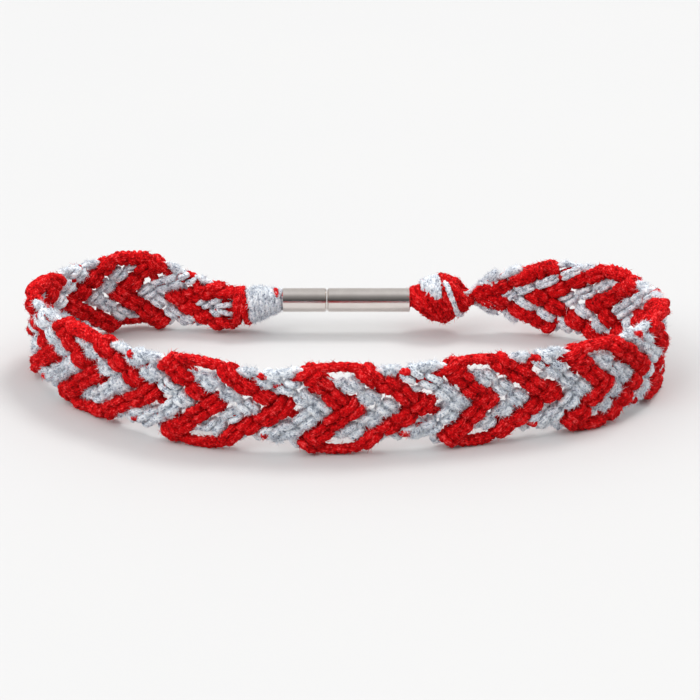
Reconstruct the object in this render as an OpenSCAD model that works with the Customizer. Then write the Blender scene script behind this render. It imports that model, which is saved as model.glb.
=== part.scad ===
// Knotted friendship bracelet, closed and standing on its edge: a flat band of half-hitch
// knots in chevrons that form hearts, gathered at both ends, wound, and held in a short
// two-part tube clasp. The band runs anticlockwise seen from above, from the clasp round the
// left end, along the front and back by the right end.

/* [Band] */
// Width of the band across the lobes of a heart, mm
band_w = 10.4; // [8:0.1:14]
// Thickness of the band over its knots, mm
band_t = 2.2; // [1.6:0.1:3]
// Thickness at the creases between knots, mm
crease_t = 1.1; // [0.7:0.1:1.6]
// Thickness of the long edge floats, one yarn, mm
float_t = 1.0; // [0.7:0.1:1.4]
// Size of the loop against the photographed one
loop_size = 1; // [0.85:0.01:1.2]
// How far out on a knot its rounded top reaches, as a share
knot_top = 0.6; // [0.4:0.05:0.75]

/* [Wound ends] */
// Radius of the gathered yarn inside the wound ends and the clasp, mm
neck_r = 1; // [0.8:0.05:1.2]
// Radius of the winding yarn, mm
wind_r = 0.55; // [0.4:0.05:0.7]
// Clearance round the gathered yarn, mm
neck_gap = 0.15; // [0.05:0.05:0.3]

/* [Clasp] */
// Outside radius of the tube, mm
tube_r = 1.5; // [1.3:0.05:2.5]
// Length of the short half, mm
short_len = 5.55; // [4:0.05:8]
// Length of the long half, mm
long_len = 10.25; // [8:0.05:14]
// Seam between the halves, mm
seam = 0.08; // [0.04:0.02:0.3]
// Chamfer at the seam, mm
seam_chamfer = 0.18; // [0.05:0.01:0.3]
// Height of the clasp's axis above the table, mm
clasp_z = 4.4; // [3:0.1:8]

/* [Hidden] */
$fn = 48;

// Centre line of the band seen from above: x, y behind the front, mm
plan = loop_size * [
  [-14.6, 35.3], [-19.5, 36.2], [-25, 36.6], [-30, 35], [-33.6, 31.8], [-35.8, 27.6],
  [-36.4, 23.4], [-35.2, 19.6], [-32, 15], [-26.8, 9.6], [-20, 4.8], [-13, 2.1], [-5, 1.15],
  [4, 1.4], [12, 3], [20, 5.1], [26.5, 7.7], [31.4, 12.2], [34.4, 17.2], [35.3, 21.2],
  [34.4, 26], [31.8, 30.4], [27.4, 33.4], [21.5, 34.9], [15.8, 35.3]];
// Where the hearts start along the centre line: distance from the left gather, mm
heart_at = loop_size * [8.9, 23.2, 39.8, 56.2, 70.6, 85, 98.8, 112.1, 126.4, 140.7];
// Rows of knots in one heart and the space after it, first and last row of the band
heart_rows = 8;
first_row = 3;
last_row = 84;
// Half width at a row of the heart, against a full lobe of 5.2: row, half width
edge_tab = [[0, 4.95], [1, 5.1], [2, 5.2], [3, 5.1], [4, 4.95], [5, 4.5], [6, 4.75], [7, 4.45],
  [8, 4.95]];
// Gathers: distance, share of the width, height of the middle
full_mid = band_w / 2;
gather_tab = [[0, 0.47, 3.3], [4.3, 0.68, 3.8], [10.5, 1, full_mid], [136, 1, full_mid],
  [140.5, 0.86, 5.25], [144.3, 0.63, 5.4], [146.6, 0.42, 5.6], [147.2, 0.19, 5.1]];

unit = band_w / 10.4;
col_w = 1.25 * unit;

// Centre line as a smooth curve through the plan points
function curve(a, b, c, d, t) = 0.5 * (2 * b + (c - a) * t + (2 * a - 5 * b + 4 * c - d) * t * t
  + (3 * b - a - 3 * c + d) * t * t * t);
np = len(plan);
ends = concat([2 * plan[0] - plan[1]], plan, [2 * plan[np - 1] - plan[np - 2]]);
line = concat([for (i = [1:np - 1]) for (k = [0:7])
  curve(ends[i - 1], ends[i], ends[i + 1], ends[i + 2], k / 8)], [plan[np - 1]]);
nl = len(line);
run = [for (i = 0, s = 0; i < nl; i = i + 1,
  s = s + norm(line[min(i, nl - 1)] - line[max(i - 1, 0)])) s];
xs = [for (i = [0:nl - 1]) [run[i], line[i][0]]];
ys = [for (i = [0:nl - 1]) [run[i], line[i][1]]];
band_len = run[nl - 1];
function at(s) = [lookup(s, xs), lookup(s, ys)];
function way(s) = let (d = at(s + 0.4) - at(s - 0.4)) d / norm(d);

// Distance along the centre line at a row of knots
row_tab = concat([[first_row, 0]],
  [for (i = [0:len(heart_at) - 1]) [heart_rows * (i + 1), heart_at[i]]], [[last_row, band_len]]);
function row_s(r) = lookup(r, row_tab);
share = [for (g = gather_tab) [g[0] * loop_size, g[1]]];
mid = [for (g = gather_tab) [g[0] * loop_size, g[2]]];
function edge(r) = lookup((r + 8) % 8, edge_tab) * unit;
function height(r, c) = abs(c) <= 3 ? c * col_w
  : sign(c) * (3 * col_w + (abs(c) - 3) * (edge(r) - 3 * col_w));

// A point of the band at row r, column c and distance w outwards from the middle
function spot(r, c, w) = let (s = row_s(r), p = at(s), t = way(s))
  [p[0] + t[1] * w, p[1] - t[0] * w, lookup(s, mid) + lookup(s, share) * height(r, c)];

// Knots sit on a brick lattice of rows and columns. Column 3 has none in row 2 of a heart: the
// edge yarn floats over that place and leaves a gap.
function inside(r) = r > first_row && r < last_row;
function is_cell(r, c) = abs(c) <= 3 && inside(r) && abs((r + c) % 2) == 1;
function is_gap(r, c) = is_cell(r, c) && abs(c) == 3 && r % 8 == 2;
function has_ridge(r, c) = is_cell(r, c) && !is_gap(r, c) && c != 0 && is_cell(r + 1, c - sign(c));

grid = [for (r = [first_row:last_row]) for (c = [-4:4]) [r, c]];
ng = len(grid);
function cell(r, c) = (r - first_row) * 9 + c + 4;
use_point = [for (g = grid) is_gap(g[0], g[1]) ? 0 : 1];
use_ridge = [for (g = grid) has_ridge(g[0], g[1]) ? 1 : 0];
use_cell = [for (g = grid) is_cell(g[0], g[1]) ? 1 : 0];
function before(list) = [for (i = 0, n = 0; i <= len(list);
  n = n + (i < len(list) ? list[i] : 0), i = i + 1) n];
pre_point = before(use_point);
pre_ridge = before(use_ridge);
pre_cell = before(use_cell);
n_point = pre_point[ng];
n_ridge = pre_ridge[ng];
n_cell = pre_cell[ng];

// Half thickness: top of a knot, shoulder, ridge between two knots of one arm, crease, edge
w_top = band_t / 2;
w_shoulder = 0.86 * w_top;
w_ridge = 0.78 * w_top;
w_crease = crease_t / 2;
w_edge = float_t / 2;
side = [1, -1];
function lift(r, c) = abs(c) == 4 ? w_edge
  : is_cell(r, c) ? w_top : (r == first_row || r == last_row) ? w_shoulder : w_crease;
// The four ways out of a cell: back along the band, up, on along the band, down
out = [[-1, 0], [0, 1], [1, 0], [0, -1]];
function shoulder(r, c, k, f) = is_gap(r, c)
  ? let (o = out[k], a = o[0] != 0 ? 0.55 : o[1] == sign(c) ? 0.12 : 0.35)
    spot(r + o[0] * a, c + o[1] * a, side[f] * w_edge)
  : spot(r + out[k][0] * knot_top, c + out[k][1] * knot_top, side[f] * w_shoulder);

band_points = concat(
  [for (f = [0, 1]) for (g = grid) if (!is_gap(g[0], g[1]))
    spot(g[0], g[1], side[f] * lift(g[0], g[1]))],
  [for (f = [0, 1]) for (g = grid) if (has_ridge(g[0], g[1]))
    spot(g[0] + 0.5, g[1] - sign(g[1]) * 0.5, side[f] * w_ridge)],
  [for (f = [0, 1]) for (g = grid) if (is_cell(g[0], g[1])) for (k = [0:3])
    shoulder(g[0], g[1], k, f)]);

function pt(f, r, c) = f * n_point + pre_point[cell(r, c)];
function rg(f, r, c) = 2 * n_point + f * n_ridge + pre_ridge[cell(r, c)];
function sh(f, r, c, k) = 2 * (n_point + n_ridge) + (f * n_cell + pre_cell[cell(r, c)]) * 4 + k % 4;
function flip(f, p) = f == 0 ? p : [for (i = [len(p) - 1:-1:0]) p[i]];

// Ridge point on the side of a cell between its ways k and k + 1, or undef
function ridge_on(f, r, c, k) =
  let (dr = k == 0 || k == 3 ? -1 : 1, dc = k < 2 ? 1 : -1, r2 = r + dr, c2 = c + dc)
  is_gap(r, c) ? undef
  : (dr == 1 && c != 0 && dc == -sign(c) && has_ridge(r, c)) ? rg(f, r, c)
  : (dr == -1 && inside(r2) && abs(c2) <= 3 && c2 != 0 && dc == sign(c2) && has_ridge(r2, c2))
    ? rg(f, r2, c2) : undef;

function corner(f, r, c, k) = pt(f, r + out[k % 4][0], c + out[k % 4][1]);
function cell_faces(f, r, c) = [for (k = [0:3])
  let (a = corner(f, r, c, k), b = corner(f, r, c, k + 1),
    i = sh(f, r, c, k), j = sh(f, r, c, k + 1), m = ridge_on(f, r, c, k))
  each concat(
    is_undef(m) ? [flip(f, [a, b, j]), flip(f, [a, j, i])]
      : [flip(f, [a, m, i]), flip(f, [m, j, i]), flip(f, [m, b, j])],
    is_gap(r, c) ? [] : [flip(f, [i, j, pt(f, r, c)])])];

// Gathered yarn beyond each end of the band, as rings of 18 points: x, z, radius
left_x = plan[0][0];
right_x = plan[np - 1][0];
clasp_y = 35.3 * loop_size;
tube_l = seam / 2 - short_len - 2.86;
tube_r_x = long_len + seam / 2 - 2.86;
left_low = [left_x + 0.1, 3.45];
right_high = [right_x - 0.8, 5];
left_neck = [[left_low[0], left_low[1], neck_r], [tube_l - 0.1, clasp_z, neck_r],
  [tube_l + 3.4, clasp_z, neck_r]];
right_neck = [[right_high[0], right_high[1], neck_r], [tube_r_x + 0.1, clasp_z, neck_r],
  [tube_r_x - 5, clasp_z, neck_r]];
function ring(n) = [for (i = [0:17])
  [n[0], clasp_y + n[2] * sin(10 + 20 * i), n[1] + n[2] * cos(10 + 20 * i)]];
neck_points = [for (n = concat(left_neck, right_neck)) each ring(n)];
n_band = len(band_points);
function loop_at(r) = concat([for (c = [4:-1:-4]) pt(0, r, c)], [for (c = [-4:4]) pt(1, r, c)]);
function ring_at(j) = [for (i = [0:17]) n_band + 18 * j + i];
function strip(a, b) = [for (i = [0:17]) let (n = (i + 1) % 18)
  each [[a[i], a[n], b[n]], [a[i], b[n], b[i]]]];
function back(p) = [for (i = [len(p) - 1:-1:0]) p[i]];

band_faces = concat(
  [for (f = [0, 1]) for (g = grid) if (is_cell(g[0], g[1])) each cell_faces(f, g[0], g[1])],
  // walls of the gaps
  [for (g = grid) if (is_gap(g[0], g[1])) for (k = [0:3])
    let (a = sh(0, g[0], g[1], k), b = sh(0, g[0], g[1], k + 1),
      c = sh(1, g[0], g[1], k + 1), d = sh(1, g[0], g[1], k)) each [[a, b, c], [a, c, d]]],
  // edge floats beside the odd rows
  [for (f = [0, 1]) for (r = [first_row:last_row]) if (r % 2 == 1) each concat(
    r > first_row ? [flip(f, [pt(f, r - 1, 4), pt(f, r, 4), pt(f, r, 3)]),
      flip(f, [pt(f, r, -3), pt(f, r, -4), pt(f, r - 1, -4)])] : [],
    r < last_row ? [flip(f, [pt(f, r, 3), pt(f, r, 4), pt(f, r + 1, 4)]),
      flip(f, [pt(f, r + 1, -4), pt(f, r, -4), pt(f, r, -3)])] : [])],
  // half cells along the first and the last row
  [for (f = [0, 1]) for (c = [-3:3]) if (abs((first_row + c) % 2) == 1) each [
    flip(f, [pt(f, first_row, c - 1), pt(f, first_row, c), pt(f, first_row + 1, c)]),
    flip(f, [pt(f, first_row, c), pt(f, first_row, c + 1), pt(f, first_row + 1, c)])]],
  [for (f = [0, 1]) for (c = [-3:3]) if (abs((last_row + c) % 2) == 1) each [
    flip(f, [pt(f, last_row, c - 1), pt(f, last_row - 1, c), pt(f, last_row, c)]),
    flip(f, [pt(f, last_row, c), pt(f, last_row - 1, c), pt(f, last_row, c + 1)])]],
  // edges of the band
  [for (r = [first_row:last_row - 1]) each [
    [pt(0, r, 4), pt(1, r, 4), pt(1, r + 1, 4)], [pt(0, r, 4), pt(1, r + 1, 4), pt(0, r + 1, 4)],
    [pt(0, r + 1, -4), pt(1, r + 1, -4), pt(1, r, -4)], [pt(0, r + 1, -4), pt(1, r, -4), pt(0, r, -4)]]],
  // gathered yarn
  strip(loop_at(first_row), ring_at(0)), strip(ring_at(0), ring_at(1)),
  strip(ring_at(1), ring_at(2)), [ring_at(2)],
  strip(ring_at(3), loop_at(last_row)), strip(ring_at(4), ring_at(3)),
  strip(ring_at(5), ring_at(4)), [back(ring_at(5))]);

// Winding of an end: distance from its thick end, radius over the yarn
left_wind = [[0.45, 2.4], [1.4, 2.45], [2.35, 2.3], [3.3, 2.1], [4.2, 1.85], [5.1, 1.65]];
right_wind = [[0.5, 1.75], [1.45, 2.35], [2.4, 2.8], [3.35, 2.85], [4.3, 2.65], [5.25, 2.3],
  [6.15, 1.9], [6.95, 1.65]];
wide = max([for (w = right_wind) w[1]]);

// Placing: the middle of the box round the whole part, at table height
bx = [for (p = band_points) p[0]];
by = [for (p = band_points) p[1]];
shift = [-(max(bx) + min(bx)) / 2, -(max(max(by), clasp_y + wide) + min(by)) / 2, 0];

module knotted_band() {
  color([0.62, 0.05, 0.08]) translate(shift)
    polyhedron(points = concat(band_points, neck_points), faces = band_faces, convexity = 10);
}

// Wound yarn between two points of a line at the clasp's depth: from = [x, z], to = [x, z]
module winding(from, to, rows) {
  d = to - from;
  len = norm(d);
  a = atan2(d[0], d[1]);
  translate([from[0], clasp_y, from[1]]) rotate([0, a, 0]) rotate_extrude() difference() {
    union() {
      polygon(concat([[0, 0]], [[rows[0][1] - 1.2 * wind_r, 0]],
        [for (w = rows) [w[1] - 0.9 * wind_r, w[0]]],
        [[rows[len(rows) - 1][1] - 1.2 * wind_r, len]], [[0, len]]));
      for (w = rows) translate([w[1] - wind_r, w[0]]) circle(r = wind_r);
    }
    translate([-0.1, -2]) square([neck_r + neck_gap + 0.1, len + 4]);
    translate([-0.1, -2]) square([5, 2]);
    translate([-0.1, len]) square([5, 2]);
  }
}

module wrap_left() {
  color([0.74, 0.78, 0.8]) translate(shift) winding([left_x + 0.3, 3.5], [tube_l - 0.2, clasp_z],
    left_wind);
}

module wrap_right() {
  color([0.62, 0.05, 0.08]) translate(shift) winding([right_x - 0.95, 4.98],
    [tube_r_x + 0.2, clasp_z], right_wind);
}

// One half of the tube: its seam end at z = 0, open at the far end for the gathered yarn
module tube_half(len, depth) {
  rotate_extrude() difference() {
    polygon([[0, 0], [tube_r - seam_chamfer, 0], [tube_r, seam_chamfer], [tube_r, len - 0.1],
      [tube_r - 0.1, len], [0, len]]);
    translate([-1, len - depth]) square([1 + neck_r + neck_gap, depth + 1]);
  }
}

module clasp_short_half() {
  color([0.75, 0.74, 0.73]) translate(shift + [-2.86 - seam / 2, clasp_y, clasp_z])
    rotate([0, -90, 0]) tube_half(short_len - seam, 3.7);
}

module clasp_long_half() {
  color([0.75, 0.74, 0.73]) translate(shift + [-2.86 + seam / 2, clasp_y, clasp_z])
    rotate([0, 90, 0]) tube_half(long_len, 5.3);
}

knotted_band();
wrap_left();
wrap_right();
clasp_short_half();
clasp_long_half();
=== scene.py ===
import math
import bpy
import numpy as np
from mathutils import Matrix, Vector


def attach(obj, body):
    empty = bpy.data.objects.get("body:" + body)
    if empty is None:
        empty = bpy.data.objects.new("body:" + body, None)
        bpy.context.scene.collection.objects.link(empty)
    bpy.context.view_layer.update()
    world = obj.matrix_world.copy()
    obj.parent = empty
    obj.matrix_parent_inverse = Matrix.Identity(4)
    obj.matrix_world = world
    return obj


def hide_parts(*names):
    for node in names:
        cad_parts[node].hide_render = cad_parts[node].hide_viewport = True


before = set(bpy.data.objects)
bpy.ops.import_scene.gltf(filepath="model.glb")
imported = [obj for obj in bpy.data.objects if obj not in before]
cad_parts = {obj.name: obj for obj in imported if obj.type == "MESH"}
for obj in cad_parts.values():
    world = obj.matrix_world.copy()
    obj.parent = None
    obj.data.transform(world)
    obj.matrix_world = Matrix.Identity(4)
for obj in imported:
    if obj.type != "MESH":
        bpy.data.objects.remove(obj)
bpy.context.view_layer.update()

rng = np.random.default_rng(7)
MM = 0.001
SHIFT = np.array([0.565, -19.074, 0.0])  # from plan coordinates to the part's frame, mm


def new_object(name, data):
    """A new object in the scene."""
    o = bpy.data.objects.new(name, data)
    bpy.context.scene.collection.objects.link(o)
    return o


class Nodes:
    """A node tree that is built from nothing."""

    def __init__(self, tree):
        tree.nodes.clear()
        self.tree = tree

    def add(self, kind, inputs=None, **settings):
        """A new node. Each input takes a plain value or a link from another node's output."""
        node = self.tree.nodes.new(kind)
        for name, value in settings.items():
            setattr(node, name, value)
        for key, source in (inputs or {}).items():
            if isinstance(source, bpy.types.NodeSocket):
                self.tree.links.new(source, node.inputs[key])
            else:
                node.inputs[key].default_value = source
        return node

    def calc(self, operation, *sources, kind="ShaderNodeMath"):
        """The result of a math node."""
        return self.add(kind, dict(enumerate(sources)), operation=operation).outputs[0]

    def map_range(self, source, start, stop, low=0.0, high=1.0, way="LINEAR"):
        """Goes from low to high as the source goes from start to stop."""
        inputs = {"Value": source, "From Min": start, "From Max": stop,
                  "To Min": low, "To Max": high}
        return self.add("ShaderNodeMapRange", inputs, interpolation_type=way).outputs["Result"]

    def noise(self, vector, scale, detail, roughness=0.5):
        """The value of a noise texture."""
        inputs = {"Vector": vector, "Scale": scale, "Detail": detail, "Roughness": roughness}
        return self.add("ShaderNodeTexNoise", inputs).outputs["Fac"]

    def ramp(self, source, stops):
        """The colour for a value, from stops of position and colour."""
        node = self.add("ShaderNodeValToRGB", {"Fac": source})
        elements = node.color_ramp.elements
        while len(elements) < len(stops):
            elements.new(0.5)
        for k, (position, colour) in enumerate(stops):
            elements[k].position = position
            elements[k].color = (*colour, 1.0)
        return node.outputs["Color"]

    def bump(self, height, strength, distance):
        """A normal for the surface, from its height."""
        inputs = {"Height": height, "Strength": strength, "Distance": distance}
        return self.add("ShaderNodeBump", inputs).outputs["Normal"]

    def surface(self, inputs):
        """The shader of a material, and its output."""
        shader = self.add("ShaderNodeBsdfPrincipled", inputs)
        self.add("ShaderNodeOutputMaterial", {"Surface": shader.outputs["BSDF"]})


def new_material(name):
    """A new material, and the builder of its node tree."""
    mat = bpy.data.materials.new(name)
    mat.use_nodes = True
    return mat, Nodes(mat.node_tree)


# Camera, floor and light, in metres

CAMERA_AT = (0.000565, -0.158675, 0.06906)
CAMERA_DOWN = 22.2  # degrees that it looks down
FLOOR_HALF = 3.0
# Lights: name, place, diameter, watts, colour
LIGHTS = (("key_above", (0.7, 0.7, 2.0), 0.7, 16.4, (1.0, 0.99, 0.97)),
          ("front_high", (-1.4, -1.25, 1.45), 1.2, 18.3, (1.0, 1.0, 1.0)))
# Brightness of the surroundings by the upward part of a direction
SKY = ((0.0, 0.05), (0.10, 0.06), (0.36, 0.15), (0.69, 0.33), (0.93, 0.55), (1.0, 0.65))
SKY_STRENGTH = 4.05

cam_data = bpy.data.cameras.new("photo_camera")
cam_data.sensor_width = 36.0
cam_data.lens = 77.14
cam_data.clip_start, cam_data.clip_end = 0.01, 10.0
cam = new_object("photo_camera", cam_data)
cam.location = CAMERA_AT
cam.rotation_euler = (math.radians(90 - CAMERA_DOWN), 0.0, 0.0)
bpy.context.scene.camera = cam
bpy.context.scene.view_settings.view_transform = "Standard"


def floor_material():
    """A matt white with a hardly visible change of tone."""
    mat, nodes = new_material("floor_white")
    tone = nodes.noise(nodes.add("ShaderNodeTexCoord").outputs["Object"], 9.0, 3.0)
    colour = nodes.ramp(tone, [(0.3, (0.612, 0.614, 0.617)), (0.7, (0.620, 0.620, 0.620))])
    nodes.surface({"Base Color": colour, "Roughness": 0.9})
    return mat


def white_floor():
    """The floor, far wider than the camera sees."""
    mesh = bpy.data.meshes.new("floor")
    corners = [(x * FLOOR_HALF, y * FLOOR_HALF, 0) for x, y in ((-1, -1), (1, -1), (1, 1), (-1, 1))]
    mesh.from_pydata(corners, [], [(0, 1, 2, 3)])
    mesh.materials.append(floor_material())
    return new_object("floor", mesh)


def disk_light(name, place, size, power, colour):
    """A disk light that faces the origin."""
    data = bpy.data.lights.new(name, "AREA")
    data.shape = "DISK"
    data.size = size
    data.energy = power
    data.color = colour
    o = new_object(name, data)
    o.location = place
    o.rotation_euler = (-Vector(place)).to_track_quat("-Z", "Y").to_euler()


def studio_world():
    """Surroundings that brighten upwards, and what the steel mirrors."""
    world = bpy.data.worlds.new("studio")
    bpy.context.scene.world = world
    world.use_nodes = True
    nodes = Nodes(world.node_tree)
    direction = nodes.add("ShaderNodeTexCoord").outputs["Generated"]
    parts = nodes.add("ShaderNodeSeparateXYZ", {"Vector": direction}).outputs
    x, y, z = parts["X"], parts["Y"], parts["Z"]
    aside = nodes.calc("ABSOLUTE", x)
    sky = nodes.ramp(z, [(height, (grey, grey, grey)) for height, grey in SKY])
    # darker straight ahead, above and behind, as in a narrow studio aisle
    darkest = nodes.map_range(y, -0.75, -0.05, 0.165, 0.28, way="SMOOTHSTEP")
    aisle = nodes.map_range(aside, 0.14, 0.42, darkest, 1.0, way="SMOOTHSTEP")
    sky = nodes.calc("MULTIPLY", sky, aisle, kind="ShaderNodeVectorMath")
    # lighter low behind the bracelet, where the backdrop sweeps up
    behind = nodes.map_range(y, 0.0, 0.35, way="SMOOTHSTEP")
    strip = nodes.map_range(aside, 0.3, 0.55, 0.20, 0.0, way="SMOOTHSTEP")
    low = nodes.calc("SUBTRACT", 1.0, z)
    sweep = nodes.calc("MULTIPLY", nodes.calc("MULTIPLY", behind, strip), low)
    sky = nodes.calc("ADD", sky, sweep, kind="ShaderNodeVectorMath")
    background = nodes.add("ShaderNodeBackground", {"Color": sky, "Strength": SKY_STRENGTH})
    nodes.add("ShaderNodeOutputWorld", {"Surface": background.outputs["Background"]})


floor = white_floor()
for light in LIGHTS:
    disk_light(*light)
studio_world()


# Materials

TWIST = 2.1  # mm of yarn for one turn of its three plies
STREAK = 0.25  # how fast the fibre pattern changes along the yarn, for each mm
# Colours of the yarn: painted shade on the deep fibres, the wool's own marled tones between, and a
# painted highlight on the proud ones
RED_TONES_SHADE_AND_HIGHLIGHT = [(0.40, (0.13, 0.0005, 0.002)), (0.47, (0.53, 0.001, 0.003)),
             (0.54, (0.78, 0.003, 0.006)), (0.62, (0.96, 0.11, 0.11))]
GREY_TONES_SHADE_AND_HIGHLIGHT = [(0.40, (0.09, 0.115, 0.175)), (0.465, (0.57, 0.62, 0.70)),
              (0.53, (0.90, 0.94, 0.98)), (0.60, (1.0, 1.0, 1.0))]
STEEL_STOPS = [(0.35, (0.73, 0.675, 0.64)), (0.65, (0.79, 0.735, 0.70))]


def yarn_material(name, stops, sheen, tint):
    """Twisted wool: fibre streaks that follow the twist, marled colour with painted shade in its
    hollows and painted highlights on its proud fibres, soft sheen.
    """
    mat, nodes = new_material(name)
    uv = nodes.add("ShaderNodeUVMap", uv_map="yarn").outputs["UV"]
    parts = nodes.add("ShaderNodeSeparateXYZ", {"Vector": uv}).outputs
    along, around = parts["X"], parts["Y"]
    # angle round the yarn, turned on by the twist
    angle = nodes.calc("MULTIPLY_ADD", along, 2 * math.pi / TWIST,
                       nodes.calc("MULTIPLY", around, 2 * math.pi))
    on_ply = nodes.add("ShaderNodeCombineXYZ", {
        "X": nodes.calc("COSINE", angle), "Y": nodes.calc("SINE", angle),
        "Z": nodes.calc("MULTIPLY", along, STREAK)}).outputs["Vector"]
    in_space = nodes.add("ShaderNodeTexCoord").outputs["Object"]
    # three noises by place, scale, detail and weight: fibres, flecks and fine specks
    noises = ((on_ply, 5.5, 3.0, 0.40),
              (in_space, 1500.0, 3.0, 0.27),
              (in_space, 4200.0, 2.0, 0.33))
    total = 0.0
    for vector, scale, detail, weight in noises:
        total = nodes.calc("MULTIPLY_ADD", nodes.noise(vector, scale, detail, 0.6), weight, total)
    # the summed noise gives both the colour and the bump's height, so the ramp's dark end paints
    # shade into the bump's low places and its light end paints highlights on the high ones
    nodes.surface({
        "Base Color": nodes.ramp(total, stops), "Roughness": 0.88, "Specular IOR Level": 0.12,
        "Sheen Weight": sheen, "Sheen Roughness": 0.45, "Sheen Tint": (*tint, 1.0),
        "Normal": nodes.bump(total, 0.8, 0.00013)})
    return mat


def steel_material():
    """Steel with fine lines along the tube and a little wear."""
    mat, nodes = new_material("clasp_steel")
    in_space = nodes.add("ShaderNodeTexCoord").outputs["Object"]
    stretched = nodes.add("ShaderNodeMapping", {
        "Vector": in_space, "Scale": (60.0, 2600.0, 2600.0)}).outputs["Vector"]
    lines = nodes.noise(stretched, 1.0, 3.0)
    wear = nodes.noise(in_space, 420.0, 4.0, 0.6)
    nodes.surface({
        "Base Color": nodes.ramp(wear, STEEL_STOPS), "Metallic": 1.0,
        "Roughness": nodes.map_range(lines, 0.35, 0.7, 0.09, 0.17),
        "Normal": nodes.bump(lines, 0.12, 0.00002)})
    return mat


YARNS = {"red": yarn_material("yarn_red_wool", RED_TONES_SHADE_AND_HIGHLIGHT, 0.06, (1.0, 0.2, 0.2)),
         "grey": yarn_material("yarn_grey_wool", GREY_TONES_SHADE_AND_HIGHLIGHT, 0.25, (0.95, 0.97, 1.0))}
STEEL = steel_material()
for part in ("clasp_short_half", "clasp_long_half"):
    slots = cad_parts[part].material_slots
    if not slots:
        raise RuntimeError("no material slot on " + part)
    for one in slots:
        one.material = STEEL


# The band's own coordinates: row, height over the middle in mm, distance out in mm

# Middle of the band seen from above, from one gather to the other, mm
PLAN = np.array([
    [-14.6, 35.3], [-19.5, 36.2], [-25, 36.6], [-30, 35], [-33.6, 31.8], [-35.8, 27.6],
    [-36.4, 23.4], [-35.2, 19.6], [-32, 15], [-26.8, 9.6], [-20, 4.8], [-13, 2.1], [-5, 1.15],
    [4, 1.4], [12, 3], [20, 5.1], [26.5, 7.7], [31.4, 12.2], [34.4, 17.2], [35.3, 21.2],
    [34.4, 26], [31.8, 30.4], [27.4, 33.4], [21.5, 34.9], [15.8, 35.3]])
# Distance along that line of the rows 8, 16 and so on, where the hearts begin, mm
HEARTS = [8.9, 23.2, 39.8, 56.2, 70.6, 85, 98.8, 112.1, 126.4, 140.7]
# Row, and its distance along the line, mm
ROW_S = np.array([[3, 0.0]] + [[8 * (i + 1), s] for i, s in enumerate(HEARTS)] + [[84, 147.1]])
# Distance along the line, share of the band's full height, height of its middle, mm
GATHER = np.array([[0, .44, 3.35], [1.6, .58, 3.5], [4.3, .72, 3.9], [10.5, 1, 5.2], [136, 1, 5.2],
                   [140.5, .86, 5.25], [144.3, .63, 5.4], [146.6, .42, 5.6], [147.2, .19, 5.1]])
COL, ROW = 1.25, 1.8  # between two columns and two rows of knots, mm
END_ROW = 1.6  # between two rows past the end of the line, mm
EDGE = 3 * COL
FIRST, LAST = 4, 83  # the rows that are built
LOOSE = 80  # past this row the edge strings run loose to the gather
LINE_END = 147.3  # no point lies further along the line, mm
# The last rows bow: from which row, over how many rows, and how far the middle runs ahead and
# the edges stay back, mm
BOW_FROM, BOW_ROWS, BOW_AHEAD, BOW_BACK = 73, 7, 0.9, 3.6
# How far the edges draw in between two hearts, mm, by row of the waist: lower edge, upper edge
WAIST_ROWS = [22, 30, 38, 46, 54, 62, 70]
WAIST_LOW = [0.2, 0.35, 0.8, 0.85, 0.4, 0.2, 0.1]
WAIST_UP = [0.0, 0.3, 0.65, 0.2, 0.0, 0.0, 0.0]
# They do so from this row of the heart on, and come back over this many rows before the next
WAIST_FROM, WAIST_ENDS = 3.3, 0.9
# Heights up to the first stay as they are, and those past the sum of both move in full, mm
WAIST_STAYS, WAIST_GROWS = 0.8, 3.2


def chain(points, sub):
    """Catmull-Rom through rows of any number of columns."""
    p = np.asarray(points, float)
    p = np.vstack([2 * p[0] - p[1], p, 2 * p[-1] - p[-2]])
    t = (np.arange(sub) / sub)[None, :, None]
    a, b, c, d = (q[:, None, :] for q in (p[:-3], p[1:-2], p[2:-1], p[3:]))
    q = 0.5 * (2 * b + (c - a) * t + (2 * a - 5 * b + 4 * c - d) * t * t
               + (3 * b - a - 3 * c + d) * t ** 3)
    return np.vstack([q.reshape(-1, p.shape[1]), p[-2:-1]])


def run_of(points):
    """Distance along a line of points, at each of them."""
    return np.concatenate([[0], np.cumsum(np.linalg.norm(np.diff(points, axis=0), axis=1))])


LINE = chain(PLAN, 8)
RUN = run_of(LINE)


def at(s):
    """The point of the middle line at a distance along it."""
    return np.array([np.interp(s, RUN, LINE[:, 0]), np.interp(s, RUN, LINE[:, 1])])


def ease(x):
    """From 0 to 1 with soft ends."""
    x = min(1.0, max(0.0, x))
    return x * x * (3 - 2 * x)


def drawn_in(r, v):
    """The height v with the edges drawn in between the hearts."""
    m = r % 8
    by_row = ease(m - WAIST_FROM) * ease((8.0 - m) / WAIST_ENDS)
    size = np.interp(r, WAIST_ROWS, WAIST_LOW if v < 0 else WAIST_UP)
    return v - math.copysign(size * by_row * ease((abs(v) - WAIST_STAYS) / WAIST_GROWS), v)


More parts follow.
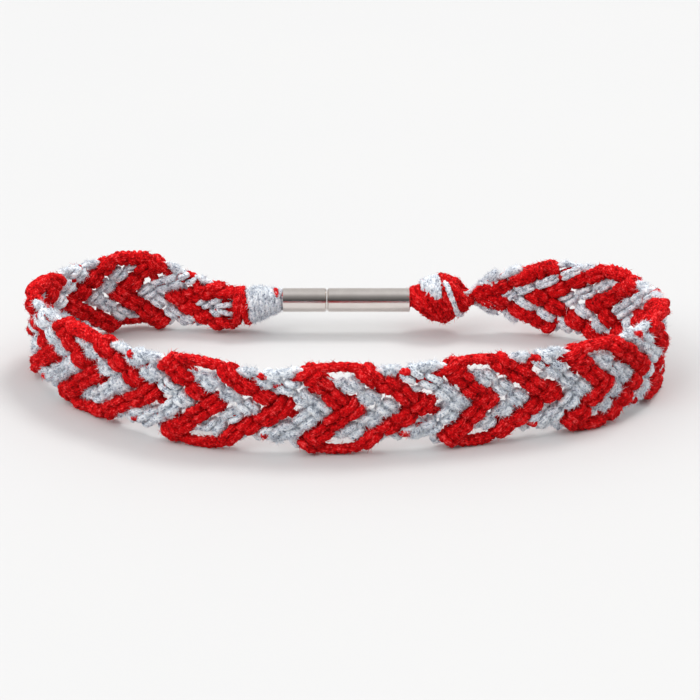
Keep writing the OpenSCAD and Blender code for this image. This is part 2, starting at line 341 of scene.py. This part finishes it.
def spot(r, v, w):
    """A point of the band, mm in plan coordinates: row, height over the middle, distance out."""
    v = drawn_in(r, v)
    s = np.interp(r, ROW_S[:, 0], ROW_S[:, 1])
    bow = min(1.0, max(0.0, (r - BOW_FROM) / BOW_ROWS))
    back = BOW_BACK * min(1.1, abs(v) / EDGE) ** 1.5 * (1 - max(0, r - LOOSE) / 5)
    s = min(s + bow * (BOW_AHEAD - back), LINE_END)
    d = at(s + 0.4) - at(s - 0.4)
    d = d / np.linalg.norm(d)
    p = at(s)
    over = 0.0  # how far the row lies past the ends of the line
    if r > ROW_S[-1, 0]:
        over = (r - ROW_S[-1, 0]) * END_ROW
    elif r < FIRST:
        over = (r - FIRST) * ROW
    share = np.interp(s, GATHER[:, 0], GATHER[:, 1])
    mid = np.interp(s, GATHER[:, 0], GATHER[:, 2])
    w = w * (1 + 0.1 * (1 - share))  # a little thicker where it is gathered
    return [p[0] + d[0] * over + d[1] * w, p[1] + d[1] * over - d[0] * w, mid + share * v]


# How the eight strings run

# Colour of the strings by slot, from the lower edge to the upper one, before row 0
START = ["grey", "red", "grey", "red", "red", "grey", "red", "grey"]
# Knots by row of the heart and column: the string that shows, and whether the two cross
KNOTS = {
    (0, 3): ("inner", True), (0, 1): ("outer", True),
    (1, 2): ("inner", False), (1, 0): ("upper", True),
    (2, 1): ("outer", True),
    (3, 2): ("outer", True), (3, 0): ("lower", True),
    (4, 3): ("outer", True), (4, 1): ("outer", True),
    (5, 2): ("outer", True), (5, 0): ("upper", True),
    (6, 3): ("outer", False), (6, 1): ("outer", True),
    (7, 2): ("inner", False), (7, 0): ("lower", True),
}
YARN, FREE = 0.445, 0.42  # radius of a string in a loop and between knots, mm
HELD, NEXT, LOOSE_YARN = 0.36, 0.48, 0.5  # and held in a knot, inside a float, and loose
LOOP_ACROSS, LOOP_OUT, LOOP_POINTS = 0.70, 0.60, 10  # half axes of a loop in mm, and its points
LEAN, STEP = 0.265, 0.475  # how far a loop leans, and lies from the knot's middle, mm
SLANT = math.hypot(ROW, COL)
# Chance in a knot: along in rows, up and out in mm, turn in radians, and size
CHANCE = (0.035, 0.06, 0.05, 0.11, 0.05)
WOBBLE, TILT = 0.05, 0.03  # chance in a string's place between knots, and in a loop's tilt, mm
FLOAT_OUT = (0.1, 0.08)  # distance out of a float and the chance in it, mm

# Long floats over the lobes, by heart: radius, rise at the middle, height of the next string, mm
LOBES = {4: (0.52, 0.24, 2.75), 5: (0.48, 0.30, 2.68), 6: (0.54, 0.24, 2.70),
         7: (0.58, 0.16, 2.90)}
LOBE = (0.70, 0.02, 3.05)
SHOULDER = 0.55  # share of that rise beside the middle
# Edge strings between two hearts, the upper and the lower one: radius and rise, mm
WAIST_FLOAT = {1: (0.52, 0.0), -1: (0.46, -1.0)}
# Edge strings on the loose rows: height for the upper and the lower one, and distance out, mm
LOOSE_UP, LOOSE_LOW, LOOSE_OUT = (3.7, 2.6, 2.2), (3.7, 3.2, 2.6), (0.4, 0.6, -0.3)
# The strings beside them, the upper and the lower one: height, distance out, radius, mm
LOOSE_NEXT = {1: (4.5, -0.4, 0.7), -1: (4.4, 0.0, 0.58)}
# How much later along the band a float's point sits, in rows, by row of the heart
FLOAT_LATE = {1: 0.4, 2: 0.15, 5: 0.1, 7: 0.45}
# Knots that sit off the lattice, towards the edge, mm
SHIFTS = {(1, 2): 0.3, (5, 2): 0.15, (7, 2): 0.15, (0, 3): 0.05, (4, 3): 0.05, (6, 3): 0.1}
# Knots round the shoulders that sit later along the band, in rows, and how much so by heart
LATE = {(0, 3): 0.6, (1, 2): 0.25, (2, 1): 0.08, (6, 3): 0.3, (7, 2): 0.4,
        (0, 1): 0.3, (1, 0): 0.15}
LATE_SHARE = {3: 0.5, 4: 0.6, 5: 0.9, 6: 1.3, 7: 1.1}
# Red knots are full, and the grey knots inside a heart are drawn tighter
RED_SIZE = 1.07
INNER_SIZE = {(3, 2): 0.88, (4, 1): 0.88, (5, 0): 0.92}
# How the string held in a grey knot at the edge peeps out: rows from the knot, mm to the edge
PEEPS = ((-0.28, 0.2), (0.0, 0.42), (0.28, 0.2))
PEEP_OUT = 0.72  # mm out at its middle


def slot_v(j):
    """The height of a slot over the middle."""
    return COL * (j - 3.5)


def late_share(r):
    """How much of the lateness a row takes."""
    return LATE_SHARE.get((r + 2) // 8, 0.5)


def adjusted(r0, c, red, size, v0):
    """Size and height of a knot where the band departs from its even chart."""
    place = (r0 % 8, abs(c))
    size *= RED_SIZE if red else INNER_SIZE.get(place, 1.0)
    v0 += math.copysign(SHIFTS.get(place, 0.0), c)
    if (r0 % 8, c) == (6, -3):
        v0 += 0.6
    if r0 < 8 and c > 0:  # the half heart at the left gather is pulled down
        if red:
            size *= 0.95 if r0 == 4 else 0.72
            v0 -= 0.0 if r0 == 4 else 0.5
        else:
            size *= 1.18
            v0 -= 0.1 if c == 3 else 0.3
    if 75 < r0 < 80 and c > 1 and not red:  # fuller grey above the last heart but one
        size *= 1.22
        v0 -= 0.3
    if 20 < r0 < 24 and c > 0:  # at the left bend the grey hides the upper arm of the red
        size *= 0.8 if red else 1.25
        v0 -= 0.45 if red else 0.35
    if 24 <= r0 <= 28 and c > 0:  # and the next heart begins with a broad lobe
        size *= 1.18 if red else 0.8
    if 30 < r0 < 68:  # the hearts at the front have broad red arms round a narrow grey
        size *= 1.07 if red else (0.9 if place in INNER_SIZE else 1.0)
    return size, v0


def loop(out, frame_at, middle, size, tilt):
    """One turn of the knotting string: over the front, then back behind."""
    for k in range(LOOP_POINTS):
        a = 2 * math.pi * k / LOOP_POINTS
        cos, sin = math.cos(a), math.sin(a)
        along = middle - LEAN * cos + tilt * sin
        w = LOOP_OUT * size * math.copysign(abs(sin) ** 0.85, sin)
        thick = YARN * (0.9 if abs(sin) < 0.2 else 1.0)  # thinner where it turns back
        out.append((*frame_at(along, LOOP_ACROSS * size * -cos, w), thick))


def knot(r0, c, a, b, cross, paths, state):
    """Adds a knot at row r0 and column c. The string in slot a shows, the one in b is inside."""
    va, vb = slot_v(a), slot_v(b)
    if cross:
        sign = 1 if va > vb else -1
    else:
        sign = 1 if c > 0 else -1
    late = LATE.get((r0 % 8, abs(c)), 0.0) * late_share(r0)
    jr, jv, jw, spin, grow = (rng.normal(0, spread) for spread in CHANCE)
    jr = late + jr
    size, v0 = adjusted(r0, c, START[state[a]] == "red", 1 + grow, COL * c)
    cs, sn = math.cos(spin), math.sin(spin)

    def frame_at(along, across, out):
        """Row, height and distance out of a point along the slant of the knot."""
        u = along * (ROW / SLANT) + across * (COL / SLANT)
        v = along * (sign * COL / SLANT) + across * (-sign * ROW / SLANT)
        u, v = u * cs - v * sn, u * sn + v * cs
        return r0 + jr + u / ROW, v0 + jv + v, out + jw

    k_id, c_id = state[a], state[b]
    k, q = paths[k_id], paths[c_id]
    exit_k, exit_q = (vb, va) if cross else (va, vb)
    r_in, r_out = r0 - 0.5 + 0.4 * late, r0 + 0.5 + 0.4 * late
    # the knotting string makes two loops, and is squeezed where it hides
    k.append((r_in, va, rng.normal(0, WOBBLE), FREE))
    from_inside = not cross and abs(va) < abs(vb)
    if from_inside:
        k.append((*frame_at(-0.9, -0.1, -0.1), 0.30))
    loop(k, frame_at, -STEP, size, rng.normal(0, TILT))
    k.append((*frame_at(-STEP - 0.1, -LOOP_ACROSS * 0.8, 0), 0.34))
    k.append((*frame_at(-0.1, -LOOP_ACROSS * 0.35, 0), 0.30))
    loop(k, frame_at, STEP, size, rng.normal(0, TILT))
    k.append((*frame_at(STEP - 0.2, -LOOP_ACROSS * 0.7, 0), 0.32))
    if cross or from_inside:
        k.append((*frame_at(0.25, 0.1, 0), 0.32))
    k.append((r_out, exit_k, rng.normal(0, WOBBLE), FREE))
    # the string that it holds goes through them
    q.append((r_in, vb, rng.normal(0, WOBBLE), FREE))
    if not cross and abs(c) == 3:
        most = PEEP_OUT if 8 < r0 < 76 else 0.0
        for (dr, up), out in zip(PEEPS, (0.1, most, 0.1)):
            q.append((r0 + dr, v0 + math.copysign(up, c), out, 0.35))
    else:
        q.append((r0 + late - 0.2, v0 * 0.85 + vb * 0.15, 0, HELD))
        q.append((r0 + late + 0.2, v0 * 0.85 + exit_q * 0.15, 0, HELD))
    q.append((r_out, exit_q, rng.normal(0, WOBBLE), FREE))
    if cross:
        state[a], state[b] = c_id, k_id


def edge_floats(r, paths, state):
    """The edge strings float past a row without a knot, and over a lobe the next ones rise."""
    m = r % 8
    thick, rise, next_v = LOBES.get(r // 8, LOBE)
    for j, sign in ((7, 1), (0, -1)):
        if m in (1, 2, 3):
            lift = rise * (1.0 if m == 2 else SHOULDER)
        else:
            thick, lift = WAIST_FLOAT[sign]
        out = rng.normal(*FLOAT_OUT)
        if r // 8 == 1 and sign < 0 and m < 4:  # one lobe is drawn up and lies outside
            lift, out = -0.75, 0.75
        v = slot_v(7) + lift + rng.normal(0, WOBBLE)
        row = r + FLOAT_LATE.get(m, 0.0) * late_share(r)
        paths[state[j]].append((row, sign * v, out, thick))
    if m == 2:
        for j, sign in ((6, 1), (1, -1)):
            paths[state[j]].append((r, sign * next_v, rng.normal(0, WOBBLE), NEXT))


def loose_ends(r, paths, state):
    """The two outer strings of each edge run loose to the right gather."""
    k = r - LOOSE - 1
    for j, heights, sign in ((7, LOOSE_UP, 1), (0, LOOSE_LOW, -1)):
        paths[state[j]].append((r, sign * heights[k], LOOSE_OUT[k], LOOSE_YARN))
    if k > 0:
        for j, sign in ((6, 1), (1, -1)):
            v, w, thick = LOOSE_NEXT[sign]
            paths[state[j]].append((r, sign * v, w, thick))


def weave():
    """Runs the strings through all rows: the points of each, and the string in each last slot."""
    paths = [[] for _ in range(8)]
    state = list(range(8))
    for r in range(LAST + 1):
        m = r % 8
        keep = r >= FIRST  # the rows before it only bring the strings into their order
        target = paths if keep else [[] for _ in range(8)]
        if r == FIRST:
            for j in (0, 7):
                target[state[j]].append((r - 0.5, slot_v(j), 0, FREE))
        for c in range(-3, 4):
            if (m, abs(c)) not in KNOTS or (r > LOOSE and abs(c) == 3):
                continue
            show, cross = KNOTS[(m, abs(c))]
            lower, upper = c + 3, c + 4
            outer, inner = (upper, lower) if c > 0 else (lower, upper)
            a, b = {"outer": (outer, inner), "inner": (inner, outer),
                    "upper": (upper, lower), "lower": (lower, upper)}[show]
            knot(r, c, a, b, cross, target, state)
        if keep and r <= LOOSE and (m % 2 == 1 or m == 2):
            edge_floats(r, paths, state)
        if r > LOOSE:
            loose_ends(r, paths, state)
    return paths, state


# Strings as meshes

SIDES, SPACING = 12, 0.23  # corners round a string, and mm between its rings
FULLNESS = {"red": 1.08, "grey": 0.93}  # share of the radius that each colour takes
PLY_IN, PLY_OUT = 0.87, 0.22  # radius between two plies, and how far a ply stands out, shares
UNEVEN, SLOW = 0.045, 0.05  # chance in the radius from point to point, and along the string
CLEAR = 0.00001  # metres that the strings stay above the floor, and the fibres twice that
made = []  # strings as laid, for the fibres: colour, centres, radius, three directions


def resample(p, step):
    """The line in even steps, and the distance along it."""
    d = run_of(p[:, :3])
    t = np.linspace(0, d[-1], max(4, int(d[-1] / step)))
    return np.column_stack([np.interp(t, d, p[:, k]) for k in range(p.shape[1])]), t


def smooth_noise(n, scale, size):
    """Slow random change along n points, new at about every scale-th one."""
    k = max(4, int(n / scale) + 3)
    return np.interp(np.arange(n), np.linspace(0, n, k), rng.normal(0, size, k))


def frames(c):
    """Tangent and two side directions along a line, carried on without twist."""
    t = np.gradient(c, axis=0)
    t /= np.linalg.norm(t, axis=1)[:, None]
    u = np.zeros_like(t)
    ref = np.array([0.0, 0.0, 1.0]) if abs(t[0][2]) < 0.9 else np.array([1.0, 0.0, 0.0])
    u[0] = ref - t[0] * ref.dot(t[0])
    u[0] /= np.linalg.norm(u[0])
    for i in range(1, len(c)):
        a = u[i - 1] - t[i] * u[i - 1].dot(t[i])
        u[i] = a / np.linalg.norm(a)
    return t, u, np.cross(t, u)


def to_metres(points, clear):
    """From plan coordinates in mm to the part's frame in metres, held above the floor."""
    out = (points.reshape(-1, 3) + SHIFT) * MM
    out[:, 2] = np.maximum(out[:, 2], clear)
    return out.tolist()


def yarn_object(name, mesh, colour):
    """An object of yarn, with its material."""
    mesh.materials.append(YARNS[colour])
    mesh.update()
    o = new_object(name, mesh)
    return o


def string_mesh(name, rows, colour):
    """A three-ply string through rows of x, y, z, radius in mm, as a closed mesh."""
    p, t = resample(chain(rows, 4), SPACING)
    n = len(p)
    tan, u, v = frames(p[:, :3])
    rad = p[:, 3] * (1 + smooth_noise(n, 9, SLOW)) * FULLNESS[colour]
    ang = np.arange(SIDES) / SIDES * 2 * math.pi
    plies = np.tile(PLY_IN + PLY_OUT * np.abs(np.cos(1.5 * ang)), (n, 1))
    plies = plies * (1 + rng.normal(0, UNEVEN, plies.shape))
    rr = (rad[:, None] * plies)[:, :, None]
    turned = (ang[None, :] + 2 * math.pi * t[:, None] / TWIST)[:, :, None]
    co = p[:, None, :3] + rr * (np.cos(turned) * u[:, None, :] + np.sin(turned) * v[:, None, :])
    i = np.arange(n - 1)[:, None] * SIDES
    k = np.arange(SIDES)[None, :]
    kn = (k + 1) % SIDES
    quads = np.stack([i + k, i + kn, i + kn + SIDES, i + k + SIDES], axis=-1).reshape(-1, 4)
    caps = [list(range(SIDES - 1, -1, -1)), [(n - 1) * SIDES + q for q in range(SIDES)]]
    mesh = bpy.data.meshes.new(name)
    mesh.from_pydata(to_metres(co, CLEAR), [], quads.tolist() + caps)
    # mm along the yarn, and turns round it
    t0, t1, k0, k1 = np.broadcast_arrays(t[:-1, None], t[1:, None], k / SIDES, (k + 1) / SIDES)
    uv = np.zeros((len(mesh.loops), 2))
    uv[:quads.size, 0] = np.stack([t0, t0, t1, t1], axis=-1).reshape(-1)
    uv[:quads.size, 1] = np.stack([k0, k1, k1, k0], axis=-1).reshape(-1)
    mesh.uv_layers.new(name="yarn").data.foreach_set("uv", uv.reshape(-1))
    mesh.polygons.foreach_set("use_smooth", [True] * len(mesh.polygons))
    made.append((colour, p[:, :3], rad, tan, u, v))
    return yarn_object(name, mesh, colour)


# The band

# Centre of the gathered yarn at the two ends: x, height, mm
NECK_L = np.array([[-14.5, 3.45], [-8.47, 4.4], [-4.97, 4.4]])
NECK_R = np.array([[2.43, 4.4], [7.53, 4.4], [15.0, 5.0]])
NECK_L_AT, NECK_R_AT = (-6.6, -8.4, -10.6, -13.0), (14.2, 12.0, 9.6, 7.4, 5.0)
NECK_RING, NECK_YARN = 0.55, 0.33  # radius of the ring of strings and of a string in it, mm
DEPTH = 35.3  # of the clasp and the wound ends in plan coordinates, mm
# How full the yarn is by row: the red swells towards both gathered ends, the grey shrinks
FULL_ROWS = [5.0, 7.5, 20.0, 25.0, 60.0, 66.0, 75.0, 79.0]
FULL = {"red": [1.32, 1.16, 1.16, 1.04, 1.04, 1.14, 1.14, 1.30],
        "grey": [0.88, 0.95, 0.95, 0.98, 0.98, 0.95, 0.95, 0.88]}


def neck(table, xs, j):
    """Points of the string in slot j in the gathered bundle, at the given x. Strings from
    neighbouring slots don't lie side by side in it."""
    a = 2 * math.pi * (j * 3 % 8) / 8
    y = DEPTH + NECK_RING * math.sin(a)
    return [[x, y, np.interp(x, table[:, 0], table[:, 1]) + NECK_RING * math.cos(a), NECK_YARN]
            for x in xs]


paths, last = weave()
for k, colour in enumerate(START):
    rows = []
    for q in paths[k]:
        if not rows or math.dist(q[:3], rows[-1][:3]) > 0.05:
            rows.append(q)
    pts = [[*spot(r, v, w), rad * np.interp(r, FULL_ROWS, FULL[colour])] for r, v, w, rad in rows]
    first_slot = int(round(rows[0][1] / COL + 3.5))
    pts = neck(NECK_L, NECK_L_AT, first_slot) + pts + neck(NECK_R, NECK_R_AT, last.index(k))
    o = string_mesh(f"string_{k + 1}_{colour}", pts, colour)
    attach(o, "root")
    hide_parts("knotted_band")


# The wound ends

# Axis from the band to the tube as x and height, then outer radius by distance along it, mm
LEFT = (((-14.3, 3.5), (-8.57, 4.4)),
        [[0.0, 2.3], [0.45, 2.4], [1.4, 2.45], [2.35, 2.3], [3.3, 2.1], [4.2, 1.85],
         [5.1, 1.6], [5.8, 1.3]])
RIGHT = (((14.85, 4.98), (7.63, 4.4)),
         [[-0.3, 1.0], [0.5, 1.75], [1.45, 2.35], [2.4, 2.8], [3.35, 2.85], [4.3, 2.65],
          [5.25, 2.3], [6.15, 1.9], [6.95, 1.65], [7.3, 1.4]])
WOUND = 0.46  # radius of wound yarn, mm
THIN = 0.4  # and of the grey strands over the red turns
UNEVEN_TURNS = 0.03  # chance in their places, mm
# Grey bits that show between the red turns: distance, degrees at the end, how proud, mm
PATCHES = ((3.95, 172, 0.36), (4.4, 166, 0.41), (4.85, 156, 0.43), (5.3, 144, 0.42),
           (5.75, 130, 0.38))


def coil(end, turns, angles, tilt, proud=0.0, rad=WOUND, sunk=0.0):
    """Winding yarn round an end. turns: distance along its axis at the start and at the end;
    angles: degrees, 90 on top and 180 in front; sunk: how deep both tips of the yarn sink."""
    axis, profile = end
    a, b = (np.array([x, DEPTH, z]) for x, z in axis)
    ax = (b - a) / np.linalg.norm(b - a)
    side = np.array([0.0, 1.0, 0.0])
    up = np.cross(ax, side)
    up = up * math.copysign(1, up[2])
    profile = np.array(profile)
    n = max(6, int(abs(angles[1] - angles[0]) / 24))  # a point for every 24 degrees
    pts = []
    for i in range(n + 1):
        f = i / n
        ang = math.radians(angles[0] + (angles[1] - angles[0]) * f)
        dist = turns[0] + (turns[1] - turns[0]) * f + tilt * math.sin(ang)
        dist += rng.normal(0, UNEVEN_TURNS)
        sink = sunk * max(0.0, 1 - 5 * min(f, 1 - f)) ** 2
        r = np.interp(dist, profile[:, 0], profile[:, 1]) - rad + proud - sink
        r += rng.normal(0, UNEVEN_TURNS)
        pts.append([*(a + ax * dist + r * (math.cos(ang) * side + math.sin(ang) * up)), rad])
    return pts


def strand(end, turns, angles, proud, rad=WOUND):
    """A short length over the winding, with both its tips sunk into it."""
    return coil(end, turns, angles, 0.0, proud, rad, 0.5)


wraps = [
    ("left_winding_red", "red", "wrap_left",
     coil(LEFT, (0.3, 0.5), (0, 480), 0.42) + coil(LEFT, (1.2, 1.4), (500, 900), -0.12)),
    ("left_winding_grey", "grey", "wrap_left", coil(LEFT, (2.0, 5.9), (90, 2270), 0.15)),
    ("left_winding_end", "red", "wrap_left", strand(LEFT, (5.3, 5.5), (60, 150), 0.1, 0.3)),
    ("right_winding_red", "red", "wrap_right", coil(RIGHT, (0.4, 6.9), (0, 2680), 1.2)),
    ("right_winding_stripe", "grey", "wrap_right",
     strand(RIGHT, (3.2, 0.8), (100, 285), 0.36, THIN)),
    ("right_winding_cross_1", "red", "wrap_right", strand(RIGHT, (7.1, 2.2), (135, 285), 0.36)),
    ("right_winding_cross_2", "red", "wrap_right", strand(RIGHT, (7.3, 3.3), (165, 300), 0.30)),
    ("right_winding_top", "red", "wrap_right", strand(RIGHT, (4.0, -0.1), (60, 215), 0.34)),
] + [
    (f"right_patch_{k}", "grey", "wrap_right",
     strand(RIGHT, (dist, dist - 0.15), (40, to), proud, THIN))
    for k, (dist, to, proud) in enumerate(PATCHES, 1)
]
for name, colour, node, pts in wraps:
    o = string_mesh(name, pts, colour)
    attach(o, "root")
    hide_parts(node)


# Loose fibres

FIBRE_NODES = ["knotted_band", "wrap_left", "wrap_right"]
SHOWN = 0.40  # fibres stand only where a string is thicker than this, mm of radius
FOOT = 0.93  # they start at this share of the radius
TAPER = 0.3  # share of its thickness that a bent fibre loses at the bend
# Number of fibres in each piece
NAP = {"red": 20000, "grey": 20700}
HALO = {"red": 8500, "grey": 11000}


def surface_points(colour, count):
    """Random places on the strings of a colour: foot, outward, along, round the yarn."""
    pool = [m for m in made if m[0] == colour]
    c, rad, tan, u, v = (np.concatenate([m[k] for m in pool]) for k in range(1, 6))
    weight = np.where(rad > SHOWN, 1.0, 0.0)
    pick = rng.choice(len(c), count, p=weight / weight.sum())
    a = rng.uniform(0, 2 * math.pi, count)[:, None]
    out = np.cos(a) * u[pick] + np.sin(a) * v[pick]
    return c[pick] + out * (rad[pick] * FOOT)[:, None], out, tan[pick], np.cross(tan[pick], out)


def unit(d):
    """Rows of length one."""
    return d / np.linalg.norm(d, axis=1)[:, None]


def spikes(name, colour, rings, thick, tip):
    """Closed three-sided spikes through rows of ring centres to their tips."""
    count = len(tip)
    side = unit(np.cross(rings[-1] - rings[0] if len(rings) > 1 else tip - rings[0],
                         rng.normal(0, 1, (count, 3))))
    other = unit(np.cross(tip - rings[0], side))
    vs = []
    for n, c in enumerate(rings):
        for k in range(3):
            q = 2 * math.pi * k / 3
            vs.append(c + (math.cos(q) * side + math.sin(q) * other)
                      * (thick * (1 - TAPER * n))[:, None])
    vs.append(tip)
    per, top = len(vs), 3 * (len(rings) - 1)
    ends = [[top, top + 1, per - 1], [top + 1, top + 2, per - 1], [top + 2, top, per - 1],
            [2, 1, 0]]
    sides = [[3 * n + k, 3 * n + (k + 1) % 3, 3 * n + 3 + (k + 1) % 3, 3 * n + 3 + k]
             for n in range(len(rings) - 1) for k in range(3)]
    i = np.arange(count)[:, None, None] * per
    faces = (i + np.array(ends)).reshape(-1, 3).tolist()
    if sides:
        faces += (i + np.array(sides)).reshape(-1, 4).tolist()
    mesh = bpy.data.meshes.new(name)
    mesh.from_pydata(to_metres(np.stack(vs, axis=1), 2 * CLEAR), [], faces)
    # each spike takes its colour from one random place along the yarn, so the darkest spikes carry
    # the ramp's painted shade and the lightest its painted highlight
    own = rng.uniform(0, 400, (count, 2))
    which = np.empty(len(mesh.loops), dtype=np.int32)
    mesh.loops.foreach_get("vertex_index", which)
    mesh.uv_layers.new(name="yarn").data.foreach_set("uv", own[which // per].reshape(-1))
    o = yarn_object(name, mesh, colour)
    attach(o, "root")
    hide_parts(*FIBRE_NODES)


def nap(name, colour):
    """Short thick fibres that lie along the twist of the yarn and lift a little."""
    count = NAP[colour]
    base, out, tan, around = surface_points(colour, count)
    beta = rng.normal(0.5, 0.5, count)[:, None]
    lift = rng.uniform(0.05, 0.62, count)[:, None]
    flow = np.cos(beta) * tan * rng.choice([-1, 1], count)[:, None] + np.sin(beta) * around
    length = rng.uniform(0.3, 0.85, count)[:, None]
    tip = base + unit(flow * np.cos(lift) + out * np.sin(lift)) * length
    spikes(name, colour, [base], rng.uniform(0.028, 0.05, count), tip)


def halo(name, colour):
    """Fine loose fibres that stand off the yarn, each with one bend."""
    count = HALO[colour]
    base, out, tan, _ = surface_points(colour, count)
    dirs = unit(out * rng.uniform(0.3, 1.0, (count, 1)) + tan * rng.normal(0, 0.8, (count, 1))
                + rng.normal(0, 0.3, (count, 3)))
    length = np.clip(rng.lognormal(-0.75, 0.4, count), 0.25, 1.5)[:, None]
    bend = base + dirs * length * 0.5
    tip = bend + unit(dirs + rng.normal(0, 0.5, (count, 3))) * length * 0.5
    spikes(name, colour, [base, bend], rng.uniform(0.011, 0.019, count), tip)


for k in (1, 2):
    nap(f"nap_red_{k}", "red")
    nap(f"nap_grey_{k}", "grey")
halo("halo_red", "red")
halo("halo_grey", "grey")
